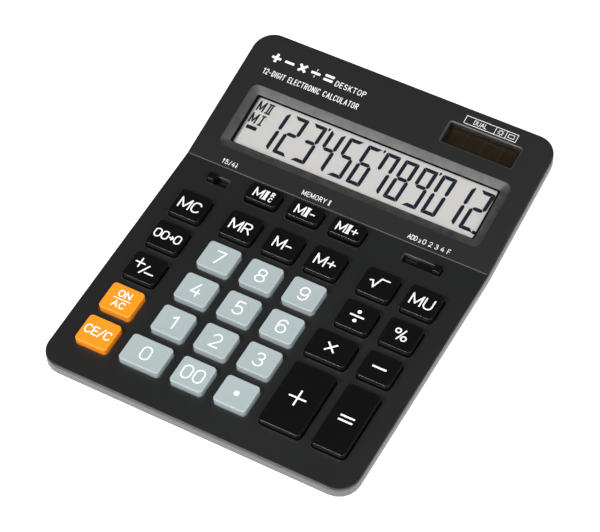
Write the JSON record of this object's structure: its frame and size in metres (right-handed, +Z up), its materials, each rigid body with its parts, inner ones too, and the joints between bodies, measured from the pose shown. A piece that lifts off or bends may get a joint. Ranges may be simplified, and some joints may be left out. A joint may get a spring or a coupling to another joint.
{
  "type": "desk calculator",
  "caption": "Desk calculator with a tilted liquid crystal display, solar cell, sprung number and function keys, and two slide switches, in a dark case over a grey lower shell.",
  "frame": {"origin": "centre of the footprint on the desk, at the underside of the feet", "axes": "+X to the user's right, +Y away from the user towards the display end, +Z up"},
  "size_m": [0.153, 0.199, 0.0312],
  "materials": {
    "key_black": "satin",
    "key_grey": "satin",
    "key_orange": "satin",
    "case_black": "fine satin grain",
    "case_grey": "fine satin grain",
    "clear_acrylic": "clear",
    "lcd_glass": "smooth",
    "pale_plastic": "satin",
    "amber_film": "smooth",
    "pale_film": "smooth",
    "cell_glass": "smooth",
    "board_green": "smooth",
    "epoxy_black": "smooth",
    "silicone": "matte",
    "steel": "satin",
    "foot_rubber": "matte"
  },
  "bodies": {
    "case": {"top_housing": "case_black", "bottom_housing": "case_grey", "display_window": "clear_acrylic", "lcd_panel": "lcd_glass", "lcd_holder": "pale_plastic", "lcd_ribbon": "amber_film", "power_ribbon": "pale_film", "solar_window": "clear_acrylic", "solar_cell": "cell_glass", "main_board": "board_green", "chip_cover": "epoxy_black", "key_mat": "silicone", "rounding_switch_base": "pale_plastic", "decimal_switch_base": "pale_plastic", "battery": "steel", "battery_contact_positive": "steel", "battery_contact_negative": "steel", "battery_cover": "case_grey", "battery_cover_screw": "steel", "case_screw_front_left": "steel", "case_screw_front_right": "steel", "case_screw_back_left": "steel", "case_screw_back_right": "steel", "foot_front_left": "foot_rubber", "foot_front_right": "foot_rubber", "foot_back_left": "foot_rubber", "foot_back_right": "foot_rubber"},
    "key_memory_clear": {"key_memory_clear": "key_black"},
    "key_delete": {"key_delete": "key_black"},
    "key_sign": {"key_sign": "key_black"},
    "key_on_all_clear": {"key_on_all_clear": "key_orange"},
    "key_clear_entry": {"key_clear_entry": "key_orange"},
    "key_memory_recall": {"key_memory_recall": "key_black"},
    "key_memory_minus": {"key_memory_minus": "key_black"},
    "key_memory_plus": {"key_memory_plus": "key_black"},
    "key_7": {"key_7": "key_grey"},
    "key_8": {"key_8": "key_grey"},
    "key_9": {"key_9": "key_grey"},
    "key_4": {"key_4": "key_grey"},
    "key_5": {"key_5": "key_grey"},
    "key_6": {"key_6": "key_grey"},
    "key_1": {"key_1": "key_grey"},
    "key_2": {"key_2": "key_grey"},
    "key_3": {"key_3": "key_grey"},
    "key_0": {"key_0": "key_grey"},
    "key_00": {"key_00": "key_grey"},
    "key_point": {"key_point": "key_grey"},
    "key_root": {"key_root": "key_black"},
    "key_divide": {"key_divide": "key_black"},
    "key_multiply": {"key_multiply": "key_black"},
    "key_plus": {"key_plus": "key_black"},
    "key_markup": {"key_markup": "key_black"},
    "key_percent": {"key_percent": "key_black"},
    "key_minus": {"key_minus": "key_black"},
    "key_equals": {"key_equals": "key_black"},
    "key_memory_two_recall": {"key_memory_two_recall": "key_black"},
    "key_memory_two_minus": {"key_memory_two_minus": "key_black"},
    "key_memory_two_plus": {"key_memory_two_plus": "key_black"},
    "rounding_switch": {"rounding_switch": "key_black"},
    "decimal_switch": {"decimal_switch": "key_black"}
  },
  "joints": [
    {"name": "key_memory_clear_press", "type": "slide", "parent": "case", "child": "key_memory_clear", "axis": [0, 0.0349, -0.9994], "range_m": [0, 0.0016], "stiffness_N_per_m": 300, "springref_m": -0.0006, "deforming": ["key_mat"]},
    {"name": "key_delete_press", "type": "slide", "parent": "case", "child": "key_delete", "axis": [0, 0.0349, -0.9994], "range_m": [0, 0.0016], "stiffness_N_per_m": 300, "springref_m": -0.0006, "deforming": ["key_mat"]},
    {"name": "key_sign_press", "type": "slide", "parent": "case", "child": "key_sign", "axis": [0, 0.0349, -0.9994], "range_m": [0, 0.0016], "stiffness_N_per_m": 300, "springref_m": -0.0006, "deforming": ["key_mat"]},
    {"name": "key_on_all_clear_press", "type": "slide", "parent": "case", "child": "key_on_all_clear", "axis": [0, 0.0349, -0.9994], "range_m": [0, 0.0016], "stiffness_N_per_m": 300, "springref_m": -0.0006, "deforming": ["key_mat"]},
    {"name": "key_clear_entry_press", "type": "slide", "parent": "case", "child": "key_clear_entry", "axis": [0, 0.0349, -0.9994], "range_m": [0, 0.0016], "stiffness_N_per_m": 300, "springref_m": -0.0006, "deforming": ["key_mat"]},
    {"name": "key_memory_recall_press", "type": "slide", "parent": "case", "child": "key_memory_recall", "axis": [0, 0.0349, -0.9994], "range_m": [0, 0.0016], "stiffness_N_per_m": 300, "springref_m": -0.0006, "deforming": ["key_mat"]},
    {"name": "key_memory_minus_press", "type": "slide", "parent": "case", "child": "key_memory_minus", "axis": [0, 0.0349, -0.9994], "range_m": [0, 0.0016], "stiffness_N_per_m": 300, "springref_m": -0.0006, "deforming": ["key_mat"]},
    {"name": "key_memory_plus_press", "type": "slide", "parent": "case", "child": "key_memory_plus", "axis": [0, 0.0349, -0.9994], "range_m": [0, 0.0016], "stiffness_N_per_m": 300, "springref_m": -0.0006, "deforming": ["key_mat"]},
    {"name": "key_7_press", "type": "slide", "parent": "case", "child": "key_7", "axis": [0, 0.0349, -0.9994], "range_m": [0, 0.0016], "stiffness_N_per_m": 300, "springref_m": -0.0006, "deforming": ["key_mat"]},
    {"name": "key_8_press", "type": "slide", "parent": "case", "child": "key_8", "axis": [0, 0.0349, -0.9994], "range_m": [0, 0.0016], "stiffness_N_per_m": 300, "springref_m": -0.0006, "deforming": ["key_mat"]},
    {"name": "key_9_press", "type": "slide", "parent": "case", "child": "key_9", "axis": [0, 0.0349, -0.9994], "range_m": [0, 0.0016], "stiffness_N_per_m": 300, "springref_m": -0.0006, "deforming": ["key_mat"]},
    {"name": "key_4_press", "type": "slide", "parent": "case", "child": "key_4", "axis": [0, 0.0349, -0.9994], "range_m": [0, 0.0016], "stiffness_N_per_m": 300, "springref_m": -0.0006, "deforming": ["key_mat"]},
    {"name": "key_5_press", "type": "slide", "parent": "case", "child": "key_5", "axis": [0, 0.0349, -0.9994], "range_m": [0, 0.0016], "stiffness_N_per_m": 300, "springref_m": -0.0006, "deforming": ["key_mat"]},
    {"name": "key_6_press", "type": "slide", "parent": "case", "child": "key_6", "axis": [0, 0.0349, -0.9994], "range_m": [0, 0.0016], "stiffness_N_per_m": 300, "springref_m": -0.0006, "deforming": ["key_mat"]},
    {"name": "key_1_press", "type": "slide", "parent": "case", "child": "key_1", "axis": [0, 0.0349, -0.9994], "range_m": [0, 0.0016], "stiffness_N_per_m": 300, "springref_m": -0.0006, "deforming": ["key_mat"]},
    {"name": "key_2_press", "type": "slide", "parent": "case", "child": "key_2", "axis": [0, 0.0349, -0.9994], "range_m": [0, 0.0016], "stiffness_N_per_m": 300, "springref_m": -0.0006, "deforming": ["key_mat"]},
    {"name": "key_3_press", "type": "slide", "parent": "case", "child": "key_3", "axis": [0, 0.0349, -0.9994], "range_m": [0, 0.0016], "stiffness_N_per_m": 300, "springref_m": -0.0006, "deforming": ["key_mat"]},
    {"name": "key_0_press", "type": "slide", "parent": "case", "child": "key_0", "axis": [0, 0.0349, -0.9994], "range_m": [0, 0.0016], "stiffness_N_per_m": 300, "springref_m": -0.0006, "deforming": ["key_mat"]},
    {"name": "key_00_press", "type": "slide", "parent": "case", "child": "key_00", "axis": [0, 0.0349, -0.9994], "range_m": [0, 0.0016], "stiffness_N_per_m": 300, "springref_m": -0.0006, "deforming": ["key_mat"]},
    {"name": "key_point_press", "type": "slide", "parent": "case", "child": "key_point", "axis": [0, 0.0349, -0.9994], "range_m": [0, 0.0016], "stiffness_N_per_m": 300, "springref_m": -0.0006, "deforming": ["key_mat"]},
    {"name": "key_root_press", "type": "slide", "parent": "case", "child": "key_root", "axis": [0, 0.0349, -0.9994], "range_m": [0, 0.0016], "stiffness_N_per_m": 300, "springref_m": -0.0006, "deforming": ["key_mat"]},
    {"name": "key_divide_press", "type": "slide", "parent": "case", "child": "key_divide", "axis": [0, 0.0349, -0.9994], "range_m": [0, 0.0016], "stiffness_N_per_m": 300, "springref_m": -0.0006, "deforming": ["key_mat"]},
    {"name": "key_multiply_press", "type": "slide", "parent": "case", "child": "key_multiply", "axis": [0, 0.0349, -0.9994], "range_m": [0, 0.0016], "stiffness_N_per_m": 300, "springref_m": -0.0006, "deforming": ["key_mat"]},
    {"name": "key_plus_press", "type": "slide", "parent": "case", "child": "key_plus", "axis": [0, 0.0349, -0.9994], "range_m": [0, 0.0016], "stiffness_N_per_m": 300, "springref_m": -0.0006, "deforming": ["key_mat"]},
    {"name": "key_markup_press", "type": "slide", "parent": "case", "child": "key_markup", "axis": [0, 0.0349, -0.9994], "range_m": [0, 0.0016], "stiffness_N_per_m": 300, "springref_m": -0.0006, "deforming": ["key_mat"]},
    {"name": "key_percent_press", "type": "slide", "parent": "case", "child": "key_percent", "axis": [0, 0.0349, -0.9994], "range_m": [0, 0.0016], "stiffness_N_per_m": 300, "springref_m": -0.0006, "deforming": ["key_mat"]},
    {"name": "key_minus_press", "type": "slide", "parent": "case", "child": "key_minus", "axis": [0, 0.0349, -0.9994], "range_m": [0, 0.0016], "stiffness_N_per_m": 300, "springref_m": -0.0006, "deforming": ["key_mat"]},
    {"name": "key_equals_press", "type": "slide", "parent": "case", "child": "key_equals", "axis": [0, 0.0349, -0.9994], "range_m": [0, 0.0016], "stiffness_N_per_m": 300, "springref_m": -0.0006, "deforming": ["key_mat"]},
    {"name": "key_memory_two_recall_press", "type": "slide", "parent": "case", "child": "key_memory_two_recall", "axis": [0, 0.0349, -0.9994], "range_m": [0, 0.0016], "stiffness_N_per_m": 300, "springref_m": -0.0006, "deforming": ["key_mat"]},
    {"name": "key_memory_two_minus_press", "type": "slide", "parent": "case", "child": "key_memory_two_minus", "axis": [0, 0.0349, -0.9994], "range_m": [0, 0.0016], "stiffness_N_per_m": 300, "springref_m": -0.0006, "deforming": ["key_mat"]},
    {"name": "key_memory_two_plus_press", "type": "slide", "parent": "case", "child": "key_memory_two_plus", "axis": [0, 0.0349, -0.9994], "range_m": [0, 0.0016], "stiffness_N_per_m": 300, "springref_m": -0.0006, "deforming": ["key_mat"]},
    {"name": "rounding_switch_slide", "type": "slide", "parent": "case", "child": "rounding_switch", "axis": [1, 0, 0], "range_m": [0, 0.006]},
    {"name": "decimal_switch_slide", "type": "slide", "parent": "case", "child": "decimal_switch", "axis": [-1, 0, 0], "range_m": [0, 0.015]}
  ]
}
